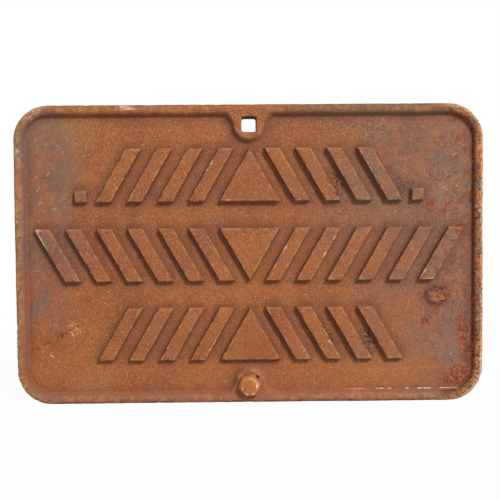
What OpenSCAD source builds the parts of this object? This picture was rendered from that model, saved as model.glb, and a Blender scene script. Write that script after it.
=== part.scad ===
// Cast iron railway warning sign with its fixing bolt, washer and nut.
// The sign stands upright: X runs across it, Z is up, and its face looks along -Y.
// The origin is the middle of the flat back, which bears on the post.

/* [Plate] */
// Width of the plate
sign_w = 508; // [380:1:640]
// Height of the plate
sign_h = 324; // [280:1:420]
// Thickness of the plate behind the sunk field
plate_t = 10; // [7:0.5:16]
// Radius of the plate's corners
corner_r = 38; // [30:1:60]

/* [Rim] */
// Width of the half-round rim
rim_w = 11.5; // [9:0.1:15]
// Rise of the rim's crest above the field
rim_rise = 7; // [5.5:0.1:9]
// Radius of the hollow that blends the rim into the field
rim_fillet = 1.5; // [1:0.1:6]

/* [Lugs and fixing holes] */
// Distance from the plate's edge to a fixing hole's middle
hole_inset = 22; // [19:0.5:28]
// Side of the square fixing holes
hole_side = 16; // [14:0.1:18]
// Radius of the lug round a fixing hole, where it meets the field
lug_r = 19.5; // [16:0.5:24]
// Draft angle of a lug's sides
lug_draft = 32; // [5:1:38]
// Radius of the hollow where a lug flares into the rim
lug_flare = 17; // [6:0.5:20]
// Depth of a lug's face below the rim's crest
lug_sink = 0.25; // [0.1:0.05:1]

/* [Raised blocks] */
// Rise of the blocks above the field
block_rise = 7; // [4:0.5:9]
// Draft angle of the blocks' sides
block_draft = 5; // [2:0.5:10]
// Thickness of a slanted bar, square to its sides
bar_t = 15.6; // [10:0.1:20]
// Gap between two slanted bars, square to their sides
bar_gap = 13.2; // [10:0.1:20]
// Lean of the bars from the vertical
bar_lean = 30; // [15:1:40]
// Side of the square block at each end of the top row
stud_side = 14; // [8:0.5:18]
// Gap between the top row's last bar and its square block
stud_gap = 8; // [5:0.5:12]
// Gap between the rows of blocks
row_gap = 27.5; // [18:0.5:40]
// Gap between a lug and the row of blocks beside it
lug_row_gap = 5.2; // [4:0.1:12]
// Space kept between the rim and the bars of the top row
top_margin = 73; // [40:1:110]
// Space kept between the rim and the bars of the middle row
middle_margin = 6; // [5:1:110]
// Space kept between the rim and the bars of the bottom row
bottom_margin = 73; // [40:1:110]

/* [Bolt] */
// Diameter of the bolt, half an inch
bolt_d = 12.7; // [10:0.1:14]
// Length of the bolt under its head
bolt_len = 63.5; // [58:0.5:90]
// Gap between the bolt and the two sides of its hole that it rests by, at the left and below
rest_gap = 0.45; // [0.3:0.05:1]
// Width of the bolt's hexagon across its flats
head_af = 22.2; // [19:0.1:26]
// Height of the bolt's head
head_h = 10; // [7:0.1:14]
// Diameter of the circle to which the head's and the nut's corners are chamfered
hex_face_d = 18.6; // [15:0.1:18.8]
// Diameter of the flat top of the head's low dome
dome_top_d = 12; // [8:0.5:14]
// Height of the head's low dome
dome_h = 1.2; // [0.5:0.1:2]
// Turn of the hexagon, as seen from the front
head_turn = 10; // [0:1:59]
// Chamfer of the bolt's free end
end_chamfer = 1.6; // [0.5:0.1:2.5]

/* [Washer and nut] */
// Room for the post between the plate's back and the washer
grip = 22; // [10:0.5:24]
// Outer diameter of the washer
washer_d = 32; // [26:0.5:45]
// Thickness of the washer
washer_t = 3; // [2:0.1:5]
// Radial clearance of the washer round the bolt
washer_clear = 0.6; // [0.2:0.1:1]
// Width of the nut across its flats
nut_af = 22.2; // [19:0.1:26]
// Height of the nut
nut_h = 11.1; // [8:0.1:14]
// Radial clearance between the bolt and the nut's bore
nut_clear = 0.08; // [0.02:0.01:0.1]

/* [Hidden] */
$fn = 96;

// Facets in each stretch of the rim's section and of a lug's outline
arc_steps = 8;
// How far a raised feature reaches down into the plate
root = 2;
// How far a cutter stands past the face that it cuts
overcut = 1;
// Angle of the chamfers on the hexagons
hex_chamfer = 30;

rim_r = rim_w / 2;
rim_face = plate_t + rim_rise;
lug_face = rim_face - lug_sink;
lug_rise = lug_face - plate_t;
lug_run = lug_rise * tan(lug_draft);
// A lug's root spreads as its sides do, and stays inside the plate's edge
lug_root = min(root, (rim_r - lug_run) / tan(lug_draft) / 2);
hole_z = sign_h / 2 - hole_inset;
bolt_off = (hole_side - bolt_d) / 2 - rest_gap;

// The rows of blocks fill the field between the two lugs
rows_half = hole_z - lug_r - lug_row_gap;
row_h = (2 * rows_half - 2 * row_gap) / 3;
row_pitch = row_h + row_gap;
bar_w = bar_t / cos(bar_lean);
bar_pitch = (bar_t + bar_gap) / cos(bar_lean);
bar_shift = row_h * tan(bar_lean);
first_bar = bar_shift + bar_pitch - bar_w;

// Points along an arc, from its first point or the one after it
function arc(centre, radius, from, to, first = 0) =
    [for (i = [first:arc_steps])
        let (a = from + (to - from) * i / arc_steps) centre + radius * [cos(a), sin(a)]];

function reversed(points) = [for (i = [len(points) - 1:-1:0]) points[i]];

// An outline mirrored across X, Y or both, still anticlockwise
function mirrored(points, sx, sy) =
    let (moved = [for (p = points) [sx * p.x, sy * p.y]]) sx * sy > 0 ? moved : reversed(moved);

// An anticlockwise outline with each side moved inwards by a distance
function inset(points, distance) =
    let (n = len(points))
    [for (i = [0:n - 1])
        let (
            before = points[i] - points[(i + n - 1) % n],
            after = points[(i + 1) % n] - points[i],
            n0 = [-before.y, before.x] / norm(before),
            n1 = [-after.y, after.x] / norm(after)
        )
        points[i] + distance * (n0 + n1) / (1 + n0 * n1)];

// Section of the plate's edge, from a corner's axis out to the edge
function edge_section() =
    let (
        bead = [corner_r - rim_r, rim_face - rim_r],
        rise = plate_t + rim_fillet - bead.y,
        run = sqrt(pow(rim_r + rim_fillet, 2) - rise * rise),
        blend = atan2(rise, run)
    )
    concat(
        [[0, 0], [corner_r, 0]],
        arc(bead, rim_r, 0, 90),
        arc(bead, rim_r, 90, 180 - blend, 1),
        arc([bead.x - run, plate_t + rim_fillet], rim_fillet, -blend, -90, 1),
        [[0, plate_t]]
    );

// Outline of the upper lug on the field, which flares out under the rim and has its drafted face
// end at the rim's crest
function lug_outline() =
    let (
        top = sign_h / 2 - rim_r + lug_run,
        rim_line = sign_h / 2 - rim_r - lug_run,
        drop = rim_line - lug_flare - hole_z,
        reach = sqrt(pow(lug_r + lug_flare, 2) - drop * drop),
        tilt = atan2(-drop, reach),
        left = [-reach, rim_line - lug_flare],
        right = [reach, left.y]
    )
    concat(
        [[-reach, top]],
        arc(left, lug_flare, 90, tilt),
        arc([0, hole_z], lug_r, 180 + tilt, 270, 1),
        arc([0, hole_z], lug_r, 270, 360 - tilt, 1),
        arc(right, lug_flare, 180 - tilt, 90, 1),
        [[reach, top]]
    );

function bar_outline(x) =
    let (half = row_h / 2)
    [[x, -half], [x + bar_w, -half], [x + bar_w - bar_shift, half], [x - bar_shift, half]];

// The middle triangle, with its slopes parallel to the bars
function triangle_outline() =
    let (half = row_h / 2)
    [[-bar_shift, -half], [bar_shift, -half], [0, half]];

function stud_outline(x) =
    let (base = -row_h / 2)
    [[x, base], [x + stud_side, base], [x + stud_side, base + stud_side], [x, base + stud_side]];

// Bars that fit in half of a row, between the middle triangle and the row's margin
function bar_count(margin) =
    1 + floor((sign_w / 2 - rim_w - margin - first_bar - bar_w) / bar_pitch);

function row_end(margin) = first_bar + bar_w + (bar_count(margin) - 1) * bar_pitch;

// Turns the flat-lying plate upright, with its face to the front
module upright() {
    rotate([90, 0, 0]) children();
}

// Places what is made along +Z on the bolt's axis, with +Z to the back
module on_bolt_axis() {
    translate([-bolt_off, 0, -hole_z - bolt_off]) rotate([-90, 0, 0]) children();
}

module plate_edge() {
    for (k = [0:3]) {
        across = k % 2 == 0 ? sign_w : sign_h;
        along = k % 2 == 0 ? sign_h : sign_w;
        rotate([0, 0, 90 * k]) translate([across / 2 - corner_r, 0, 0]) {
            rotate([90, 0, 0])
                linear_extrude(along - 2 * corner_r, center = true) polygon(edge_section());
            translate([0, along / 2 - corner_r, 0])
                rotate_extrude(angle = 90) polygon(edge_section());
        }
    }
}

module plate_middle() {
    translate([corner_r - sign_w / 2, corner_r - sign_h / 2, 0])
        cube([sign_w - 2 * corner_r, sign_h - 2 * corner_r, plate_t]);
}

module fixing_hole(z) {
    translate([-hole_side / 2, z - hole_side / 2, -overcut])
        cube([hole_side, hole_side, rim_face + 2 * overcut]);
}

// A solid with drafted sides, whose outline is given where it meets the field
module raised(outline, rise, draft, depth) {
    n = len(outline);
    low = inset(outline, -depth * tan(draft));
    high = inset(outline, rise * tan(draft));
    polyhedron(
        points = concat(
            [for (p = low) [p.x, p.y, plate_t - depth]],
            [for (p = high) [p.x, p.y, plate_t + rise]]
        ),
        faces = concat(
            [[for (i = [0:n - 1]) i], [for (i = [n - 1:-1:0]) n + i]],
            [for (i = [0:n - 1]) [i, n + i, n + (i + 1) % n, (i + 1) % n]]
        )
    );
}

module lugs() {
    for (up = [1, -1]) raised(mirrored(lug_outline(), 1, up), lug_rise, lug_draft, lug_root);
}

module raised_block(outline) {
    raised(outline, block_rise, block_draft, root);
}

// A row of bars that lean in from both sides to a triangle, upside down where up is -1
module block_row(margin, up) {
    raised_block(mirrored(triangle_outline(), 1, up));
    for (side = [-1, 1], i = [0:bar_count(margin) - 1])
        raised_block(mirrored(bar_outline(first_bar + i * bar_pitch), side, up));
}

module raised_rows() {
    translate([0, row_pitch, 0]) {
        block_row(top_margin, 1);
        for (side = [-1, 1])
            raised_block(mirrored(stud_outline(row_end(top_margin) + stud_gap), side, 1));
    }
    block_row(middle_margin, -1);
    translate([0, -row_pitch, 0]) block_row(bottom_margin, 1);
}

module sign_plate() {
    color("sienna") upright() difference() {
        union() {
            plate_middle();
            plate_edge();
            lugs();
            raised_rows();
        }
        fixing_hole(hole_z);
        fixing_hole(-hole_z);
    }
}

// Half of the section that the bolt's head is turned to: a low dome with a flat top, then the chamfer
function head_outline() =
    let (r = hex_face_d / 2, seat_r = r + (head_h - dome_h) / tan(hex_chamfer))
    [[0, 0], [dome_top_d / 2, 0], [r, dome_h], [seat_r, head_h], [0, head_h]];

// Half of the section that the nut is turned to, with a chamfer at both ends
function nut_outline() =
    let (r = hex_face_d / 2, middle_r = r + nut_h / 2 / tan(hex_chamfer))
    [[0, 0], [r, 0], [middle_r, nut_h / 2], [r, nut_h], [0, nut_h]];

// A hexagonal prism along +Z, turned down to half of a section
module turned_hexagon(af, height, outline) {
    intersection() {
        cylinder(h = height, r = af / 2 / cos(30), $fn = 6);
        rotate_extrude() polygon(outline);
    }
}

module hex_bolt() {
    color("peru") on_bolt_axis() {
        translate([0, 0, -lug_face - head_h]) rotate([0, 0, -head_turn])
            turned_hexagon(head_af, head_h, head_outline());
        translate([0, 0, -lug_face - head_h / 2])
            cylinder(h = head_h / 2 + bolt_len - end_chamfer, d = bolt_d);
        translate([0, 0, bolt_len - lug_face - end_chamfer])
            cylinder(h = end_chamfer, r1 = bolt_d / 2, r2 = bolt_d / 2 - end_chamfer);
    }
}

module plate_washer() {
    color("saddlebrown") on_bolt_axis() translate([0, 0, grip]) difference() {
        cylinder(h = washer_t, d = washer_d);
        translate([0, 0, -overcut])
            cylinder(h = washer_t + 2 * overcut, r = bolt_d / 2 + washer_clear);
    }
}

module hex_nut() {
    color("chocolate") on_bolt_axis() translate([0, 0, grip + washer_t]) difference() {
        turned_hexagon(nut_af, nut_h, nut_outline());
        translate([0, 0, -overcut]) cylinder(h = nut_h + 2 * overcut, r = bolt_d / 2 + nut_clear);
    }
}

sign_plate();
hex_bolt();
plate_washer();
hex_nut();
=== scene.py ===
"""Dresses the CAD frame of a rusted cast iron trackside warning sign for rendering."""

import math

import bmesh
import bpy
import numpy as np
from bmesh.types import BMEdge, BMFace, BMVert
from mathutils import Matrix, Vector, noise


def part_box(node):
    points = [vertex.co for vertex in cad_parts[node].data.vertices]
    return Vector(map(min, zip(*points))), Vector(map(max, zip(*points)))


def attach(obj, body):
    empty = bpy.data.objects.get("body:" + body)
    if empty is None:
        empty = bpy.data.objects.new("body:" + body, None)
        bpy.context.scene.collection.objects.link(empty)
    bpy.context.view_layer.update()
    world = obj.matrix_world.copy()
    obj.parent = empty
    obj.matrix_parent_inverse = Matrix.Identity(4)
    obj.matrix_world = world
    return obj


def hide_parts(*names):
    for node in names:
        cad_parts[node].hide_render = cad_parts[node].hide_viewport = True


bl_info = {
    "name": "Cast Iron Warning Sign",
    "version": (1, 0, 0),
    "blender": (4, 5, 0),
    "location": "View3D > Sidebar > Sign",
    "description": "Builds a rusted cast iron warning sign with its fixing bolt over the CAD frame",
    "category": "Add Mesh",
}

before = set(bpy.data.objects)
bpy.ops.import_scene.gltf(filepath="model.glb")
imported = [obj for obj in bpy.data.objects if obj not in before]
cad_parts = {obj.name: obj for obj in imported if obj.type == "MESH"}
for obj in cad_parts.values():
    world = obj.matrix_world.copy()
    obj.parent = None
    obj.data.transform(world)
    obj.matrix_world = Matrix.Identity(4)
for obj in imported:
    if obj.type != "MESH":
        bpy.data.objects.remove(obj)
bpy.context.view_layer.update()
PLATE_LOW, PLATE_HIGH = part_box("sign_plate")
BOLT_LOW, BOLT_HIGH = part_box("hex_bolt")
WASHER_LOW, WASHER_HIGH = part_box("plate_washer")
NUT_LOW, NUT_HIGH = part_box("hex_nut")
BOLT_AXIS = (WASHER_LOW + WASHER_HIGH) / 2

HOLE_INSET = 0.022
WHITE = (1, 1, 1, 1)

# The lugs' softening and the rust's lumps stay in front of this.
FRONT_Y = -0.008

# Facets of the solids' round parts. The thread's are for one turn.
RIM_STEPS = 12
HOLLOW_STEPS = 5
CORNER_STEPS = 16
FLARE_STEPS = 8
LUG_STEPS = 20
ROUND_SIDES = 64
TURNED_STEPS = 72
THREAD_STEPS = 28

# How near vertices are made one, how far an added solid reaches into another one, and how far
# a cutter reaches past what it cuts, in metres.
WELD = 1e-6
ROOT_DEPTH = 0.002
CUT_PAST = 0.01

# Rounds of smoothing that soften the lugs, find the edges and spread the grime with its
# painted shade.
LUG_ROUNDS = 8
EDGE_ROUNDS = 24
GRIME_AND_SHADE_ROUNDS = 80

# How strongly the grime with its painted shade and the chips follow the corners, the noise and the
# edges, and the level of noise that leaves the skin where it is.
GRIME_AND_SHADE_GAIN = 5
CHIP_GAIN = 3
CHIP_START = 0.6
CHIP_EDGE_GAIN = 1.5
SKIN_MIDDLE = 0.4


def length(name, default, description):
    """A size in metres that a user can change."""
    return bpy.props.FloatProperty(
        name=name, default=default, description=description, unit="LENGTH", precision=5
    )


def angle(name, degrees, description):
    """An angle that a user can change."""
    return bpy.props.FloatProperty(
        name=name, default=math.radians(degrees), description=description, subtype="ANGLE"
    )


def count(name, default, description):
    """A whole number that a user can change."""
    return bpy.props.IntProperty(name=name, default=default, description=description, min=1)


def colour(name, red, green, blue, description):
    """A colour that a user can change, given as it is read on a screen."""
    shown = (red / 255, green / 255, blue / 255)
    linear = tuple(c / 12.92 if c <= 0.04045 else ((c + 0.055) / 1.055) ** 2.4 for c in shown)
    return bpy.props.FloatVectorProperty(
        name=name, default=linear, description=description, subtype="COLOR", size=3, min=0, max=1
    )


class SignSizes(bpy.types.PropertyGroup):
    """Sizes of the casting and its hardware."""

    sign_w: length("Width", PLATE_HIGH.x - PLATE_LOW.x, "Width of the plate")
    sign_h: length("Height", PLATE_HIGH.z - PLATE_LOW.z, "Height of the plate")
    plate_t: length("Plate thickness", 0.010, "Thickness of the plate behind the sunk field")
    corner_r: length("Corner radius", 0.038, "Radius of the plate's corners")
    rim_w: length("Rim width", 0.0115, "Width of the half-round rim")
    rim_rise: length("Rim rise", 0.007, "Rise of the rim's crest above the field")
    rim_fillet: length("Rim hollow", 0.0015, "Radius of the hollow between the rim and the field")
    hole_inset: length("Hole inset", HOLE_INSET, "Distance from the plate's edge to a hole's middle")
    hole_side: length("Hole side", 0.016, "Side of the square fixing holes")
    hole_lean: length("Hole lean", 0.0009, "Lean of the upper hole's right and top walls")
    lug_r: length("Lug radius", 0.0195, "Radius of a lug where it meets the field")
    lug_draft: angle("Lug draft", 32, "Draft angle of a lug's sides")
    lug_flare: length("Lug flare", 0.017, "Radius of the hollow where a lug meets the rim")
    lug_sink: length("Lug sink", 0.00025, "Depth of a lug's face below the rim's crest")
    block_rise: length("Block rise", 0.007, "Rise of the raised blocks above the field")
    block_draft: angle("Block draft", 5, "Draft angle of the raised blocks' sides")
    bar_t: length("Bar thickness", 0.0156, "Thickness of a slanted bar, square to its sides")
    bar_gap: length("Bar gap", 0.0132, "Gap between two slanted bars")
    bar_lean: angle("Bar lean", 30, "Lean of the bars from the vertical")
    stud_side: length("Square block side", 0.014, "Side of the square blocks beside the top row")
    stud_gap: length("Square block gap", 0.008, "Gap between the top row and its square blocks")
    row_gap: length("Row gap", 0.0275, "Gap between the rows of blocks")
    lug_row_gap: length("Lug to row gap", 0.0052, "Gap between a lug and the row beside it")
    outer_bars: count("Bars in outer rows", 4, "Bars on each side of the top and bottom rows")
    middle_bars: count("Bars in middle row", 6, "Bars on each side of the middle row")
    bolt_d: length("Bolt diameter", 0.0127, "Diameter of the bolt over its thread")
    head_h: length("Head height", 0.010, "Height of the bolt's head")
    hex_af: length("Hexagon width", NUT_HIGH.z - NUT_LOW.z, "Width across the flats")
    hex_face_d: length("Hexagon face", 0.0186, "Diameter of the circle within a chamfer")
    dome_top_d: length("Dome top", 0.012, "Diameter of the flat top of the head's low dome")
    dome_h: length("Dome height", 0.0012, "Height of the head's low dome")
    head_turn: angle("Head turn", 10, "Turn of the bolt's head, as seen from the front")
    thread_pitch: length("Thread pitch", 0.0254 / 12, "Distance between two turns of the thread")
    thread_depth: length("Thread depth", 0.00125, "Depth of the thread")
    thread_start: length("Thread start", 0.002, "Where the thread starts behind the plate's back")
    end_chamfer: length("End chamfer", 0.0016, "Chamfer of the bolt's free end")
    washer_bore: length("Washer bore", 0.01390, "Diameter of the washer's hole")
    nut_bore: length("Nut bore", 0.01286, "Diameter of the nut's hole")


class SignColours(bpy.types.PropertyGroup):
    """Colours of the rusted iron and of the stage."""

    rust: colour("Rust", 156, 89, 55, "Main brown of the rusted casting")
    rust_deep: colour("Deep rust", 128, 76, 52, "Darker brown in the rust's mottling")
    rust_warm: colour("Warm rust", 170, 98, 56, "Warmer brown in the rust's mottling")
    grain_light: colour("Light grain", 220, 156, 104, "Light grains of the rust's skin")
    grain_dark: colour("Dark grain", 90, 47, 27, "Dark grains of the rust's skin")
    olive: colour("Olive stain", 132, 101, 79, "Grey-olive stain")
    moss: colour("Moss stain", 108, 88, 70, "Dark grey-olive stain")
    ochre: colour("Ochre stain", 166, 117, 76, "Yellow-brown stain")
    plum: colour("Plum stain", 122, 87, 76, "Purple-brown stain")
    slate: colour("Slate stain", 119, 101, 90, "Greyish bare iron")
    tan: colour("Tan", 132, 97, 76, "Grey-tan weathered rust")
    lavender: colour("Lavender stain", 136, 106, 94, "Pinkish grey bare iron")
    umber: colour("Umber", 108, 66, 50, "Dark red-brown rust")
    # Grime with painted shade, laid beside the raised blocks.
    grime_and_shade: colour("Grime", 98, 66, 54, "Dirt held beside the raised blocks")
    red: colour("Red rust", 132, 60, 35, "Fresh red rust")
    orange: colour("Orange rust", 206, 112, 42, "Bright orange rust spots")
    # Also a painted highlight along the rims' outer edges and on the bolt's dome.
    gold: colour("Worn gold", 206, 150, 96, "Rust rubbed thin on edges")
    # Also painted glints on the rims' outer edges and on the bolt's head.
    pale: colour("Pale chip", 238, 208, 180, "Pale chips and scratches")
    # Dark rust and painted shade in the corners at the raised blocks' roots and in the hardware's
    # hollows.
    crevice: colour("Crevice", 92, 56, 42, "Dark rust in corners")
    # Also painted shade inside the holes, on the right rim's inner side and on the plate's underside.
    soot_and_shade: colour("Soot", 46, 32, 28, "Black pits and the insides of holes")
    bolt_rust: colour("Bolt rust", 184, 106, 52, "Rust of the bolt's head")
    floor: colour("Floor", 222, 222, 222, "Floor under the sign")


class Graph:
    """Short ways to put nodes in a node tree and join them up."""

    def __init__(self, tree):
        self.tree = tree

    def node(self, kind, inputs=None, **settings):
        """A node with its settings, and each named input joined to a socket or set to a value."""
        node = self.tree.nodes.new(kind)
        for key, value in settings.items():
            setattr(node, key, value)
        for key, value in (inputs or {}).items():
            self.feed(node.inputs[key], value)
        return node

    def feed(self, socket, value):
        """Joins a socket to another one, or sets it to a value."""
        if isinstance(value, bpy.types.NodeSocket):
            self.tree.links.new(value, socket)
        else:
            socket.default_value = value

    def mix(self, factor, under, over):
        """One colour over another."""
        node = self.node("ShaderNodeMix", data_type="RGBA")
        # Inputs 0, 6 and 7 and output 2 are the ones that a Mix node uses for colours.
        for index, value in ((0, factor), (6, under), (7, over)):
            if isinstance(value, tuple):
                value = (*value, 1)
            self.feed(node.inputs[index], value)
        return node.outputs[2]

    def math(self, operation, *values, clamp=False):
        """Arithmetic on single values."""
        inputs = dict(enumerate(values))
        return self.node("ShaderNodeMath", inputs, operation=operation, use_clamp=clamp).outputs[0]

    def vector(self, operation, *values):
        """Arithmetic on vectors."""
        node = self.node("ShaderNodeVectorMath", dict(enumerate(values)), operation=operation)
        return node.outputs["Value" if operation == "LENGTH" else "Vector"]

    def times(self, first, *others):
        """The product of masks."""
        for other in others:
            first = self.math("MULTIPLY", first, other)
        return first

    def axes(self, vector):
        """The parts of a vector, by their letters."""
        return self.node("ShaderNodeSeparateXYZ", {"Vector": vector}).outputs

    def ramp(self, value, start, end, low=0.0, high=1.0):
        """A smooth step between two values."""
        inputs = {"Value": value, "From Min": start, "From Max": end, "To Min": low, "To Max": high}
        step = self.node("ShaderNodeMapRange", inputs, interpolation_type="SMOOTHSTEP")
        return step.outputs["Result"]

    def noise(self, vector, scale, detail, rough):
        """The outputs of a noise texture."""
        inputs = {"Vector": vector, "Scale": scale, "Detail": detail, "Roughness": rough}
        return self.node("ShaderNodeTexNoise", inputs).outputs

    def mottle(self, vector, size, detail=3.0, rough=0.55):
        """Noise with features of a size in metres."""
        return self.noise(vector, 1 / size, detail, rough)["Fac"]

    def warped(self, vector, size, amount):
        """A place moved about by noise, so that marks drawn there have ragged borders."""
        drift = self.noise(vector, 1 / size, 5.0, 0.65)["Color"]
        middle = self.vector("SUBTRACT", drift, (0.5, 0.5, 0.5))
        return self.vector("ADD", vector, self.vector("MULTIPLY", middle, (amount, amount, amount)))

    def turned(self, vector, turn):
        """A place turned about the sign's middle, in the plane of its face."""
        inputs = {"Vector": vector, "Angle": turn}
        return self.node("ShaderNodeVectorRotate", inputs, rotation_type="Y_AXIS").outputs["Vector"]


VECTOR_SOCKETS = ("Vector", "Centre", "Reach")


def new_group(name, *inputs):
    """A node group with named inputs and one value to put out, as (graph, inputs, output)."""
    tree = bpy.data.node_groups.new(name, "ShaderNodeTree")
    for socket in inputs:
        kind = "NodeSocketVector" if socket in VECTOR_SOCKETS else "NodeSocketFloat"
        tree.interface.new_socket(socket, in_out="INPUT", socket_type=kind)
    tree.interface.new_socket("Value", in_out="OUTPUT", socket_type="NodeSocketFloat")
    g = Graph(tree)
    return g, g.node("NodeGroupInput").outputs, g.node("NodeGroupOutput").inputs["Value"]


def patch_group():
    """Mask of an oval patch about a place on the sign."""
    g, given, out = new_group("patch", "Vector", "Centre", "Reach", "Turn", "Soft")
    away = g.vector("SUBTRACT", given["Vector"], given["Centre"])
    far = g.vector("LENGTH", g.vector("DIVIDE", g.turned(away, given["Turn"]), given["Reach"]))
    inner = g.math("SUBTRACT", 1.0, given["Soft"])
    outer = g.math("ADD", 1.0, given["Soft"])
    g.feed(out, g.ramp(far, inner, outer, 1.0, 0.0))
    return g.tree


def grain_group():
    """Fine grain of a rusted skin, from 0 to 1 about a middle of 0.5."""
    g, given, out = new_group("grain", "Vector", "Scale")
    fine = g.noise(given["Vector"], given["Scale"], 1.0, 0.6)["Fac"]
    wider_scale = g.math("MULTIPLY", given["Scale"], 0.65)
    wider = g.noise(given["Vector"], wider_scale, 2.0, 0.6)["Fac"]
    g.feed(out, g.math("ADD", g.math("MULTIPLY", fine, 0.62), g.math("MULTIPLY", wider, 0.38)))
    return g.tree


def wear_group():
    """Mask of worn edges, broken up by noise."""
    g, given, out = new_group("edge_wear", "Vector", "Edge", "Scale")
    broken = g.noise(given["Vector"], given["Scale"], 4.0, 0.65)["Fac"]
    g.feed(out, g.ramp(g.times(given["Edge"], g.ramp(broken, 0.38, 0.62)), 0.12, 0.6))
    return g.tree


def lucky_cells(g, given, vector):
    """How far a place is from its cell's middle, and a mask of the share of cells that hold a mark."""
    cells = g.node("ShaderNodeTexVoronoi", {"Vector": vector, "Scale": given["Scale"]}).outputs
    luck = g.node("ShaderNodeSeparateColor", {"Color": cells["Color"]}).outputs["Red"]
    return cells["Distance"], g.math("LESS_THAN", luck, given["Share"])


def speck_group():
    """Mask of scattered specks."""
    g, given, out = new_group("specks", "Vector", "Scale", "Share", "Size")
    far, chosen = lucky_cells(g, given, given["Vector"])
    inner = g.math("MULTIPLY", given["Size"], 0.4)
    g.feed(out, g.times(g.ramp(far, given["Size"], inner), chosen))
    return g.tree


def scratch_group():
    """Mask of short fine scratches that run one way."""
    g, given, out = new_group("short_scratches", "Vector", "Turn", "Scale", "Share")
    stretched = g.vector("MULTIPLY", g.turned(given["Vector"], given["Turn"]), (0.13, 1.0, 1.0))
    far, chosen = lucky_cells(g, given, stretched)
    g.feed(out, g.times(g.ramp(far, 0.17, 0.06), chosen))
    return g.tree


GROUP_MAKERS = {
    "patch": patch_group,
    "grain": grain_group,
    "edge_wear": wear_group,
    "specks": speck_group,
    "short_scratches": scratch_group,
}

CLOUD_SHIFT = (0.37, 0.0, 0.19)
CLOUD_DETAIL = 3.0
CLOUD_ROUGHNESS = 0.60
CLOUD_BORDER = 0.06
SOFT_BORDER = 0.6


class Coat:
    """The colour of a rusted surface, over which tints are laid one after another."""

    def __init__(self, g, colours, base):
        self.g = g
        self.palette = {key: tuple(getattr(colours, key)) for key in SignColours.__annotations__}
        self.base = self.palette[base]

    def mark(self, name, where, **inputs):
        """The value of a shared node group, which is built when it is first asked for."""
        tree = bpy.data.node_groups.get(name) or GROUP_MAKERS[name]()
        inputs["Vector"] = where
        return self.g.node("ShaderNodeGroup", node_tree=tree, inputs=inputs).outputs[0]

    def patch(self, where, centre, reach, turn=0.0, soft=0.5):
        """Mask of an oval patch, with its centre and reach across and up the sign in millimetres."""
        return self.mark(
            "patch",
            where,
            Centre=(centre[0] / 1000, 0, centre[1] / 1000),
            Reach=(reach[0] / 1000, 1, reach[1] / 1000),
            Turn=math.radians(turn),
            Soft=soft,
        )

    def patches(self, where, shapes):
        """Mask of several soft patches, each given as (centre, reach, turn)."""
        together = 0.0
        for shape in shapes:
            patch = self.patch(where, *shape, soft=SOFT_BORDER)
            together = self.g.math("MAXIMUM", together, patch)
        return together

    def lay(self, tint, strength, *masks):
        """Lays a colour through the product of masks.

        A mask given as (value, start, end) is a smooth step between start and end.
        """
        for mask in masks:
            if isinstance(mask, tuple):
                mask = self.g.ramp(*mask)
            strength = self.g.math("MULTIPLY", mask, strength)
        self.base = self.g.mix(strength, self.base, self.palette[tint])

    def paint(self, where, marks, *masks):
        """Lays patches, each given as (colour, strength, centre, reach, turn, soft)."""
        for tint, strength, *shape in marks:
            self.lay(tint, strength, self.patch(where, *shape), *masks)

    def cloud(self, where, zone, clouds):
        """Lays clouds over a zone, each given as (size, colour, strength, level it starts at)."""
        for index, (size, tint, strength, level) in enumerate(clouds):
            shift = tuple(index * step for step in CLOUD_SHIFT)
            shifted = self.g.vector("ADD", where, shift)
            mottling = self.g.mottle(shifted, size, CLOUD_DETAIL, CLOUD_ROUGHNESS)
            self.lay(tint, strength, zone, (mottling, level, level + CLOUD_BORDER))


def empty_graph(owner):
    """The cleared node graph of a material or a world."""
    owner.use_nodes = True
    owner.node_tree.nodes.clear()
    return Graph(owner.node_tree)


def new_material(name):
    """A material with a Principled shader, as (material, graph, shader)."""
    material = bpy.data.materials.new(name)
    g = empty_graph(material)
    shader = g.node("ShaderNodeBsdfPrincipled")
    g.node("ShaderNodeOutputMaterial", {"Surface": shader.outputs["BSDF"]})
    return material, g, shader


def join_surface(g, shader, colour, rough, shine, bump):
    """Joins a colour, a roughness and bumps, given as (height, strength, distance), to a shader."""
    bump_inputs = dict(zip(("Height", "Strength", "Distance"), bump))
    inputs = {
        "Base Color": colour,
        "Roughness": rough,
        "Specular IOR Level": shine,
        "Normal": g.node("ShaderNodeBump", bump_inputs).outputs["Normal"],
    }
    for name, value in inputs.items():
        g.feed(shader.inputs[name], value)


def attribute(g, name):
    """A value that a mesh keeps on its vertices."""
    return g.node("ShaderNodeAttribute", attribute_name=name).outputs["Fac"]


def off_wall(g, side):
    """1 on the rim's round, falling to a little on the plate's side walls behind it."""
    return g.ramp(side["Y"], -0.0055, -0.0100, 0.15, 1.0)


BROAD_STAINS = (
    ("tan", 0.75, (165, 62), (95, 80), 0, 0.6),
    ("tan", 0.75, (205, -40), (70, 110), 0, 0.6),
    ("olive", 0.65, (168, 108), (52, 46), 0, 0.6),
    ("moss", 0.55, (170, 112), (36, 36), 0, 0.8),
    ("moss", 0.40, (120, 142), (70, 10), 0, 0.8),
    ("rust_warm", 0.40, (60, -132), (190, 22), 0, 0.6),
    ("ochre", 0.35, (150, -118), (80, 30), 0, 0.7),
    ("rust_warm", 0.40, (-175, -105), (60, 40), 20, 0.6),
    ("ochre", 0.40, (-172, -134), (26, 14), 0, 0.8),
    ("olive", 0.75, (-213, 88), (38, 64), 0, 0.5),
    ("ochre", 0.60, (-196, 134), (30, 16), 0, 0.6),
    ("slate", 0.60, (-210, 84), (14, 17), 10, 0.8),
    ("slate", 0.45, (-239, 124), (8, 18), 0, 0.8),
    ("plum", 0.50, (-224, 44), (20, 40), 0, 0.7),
    ("plum", 0.55, (-212, -4), (34, 32), 0, 0.6),
)

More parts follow.
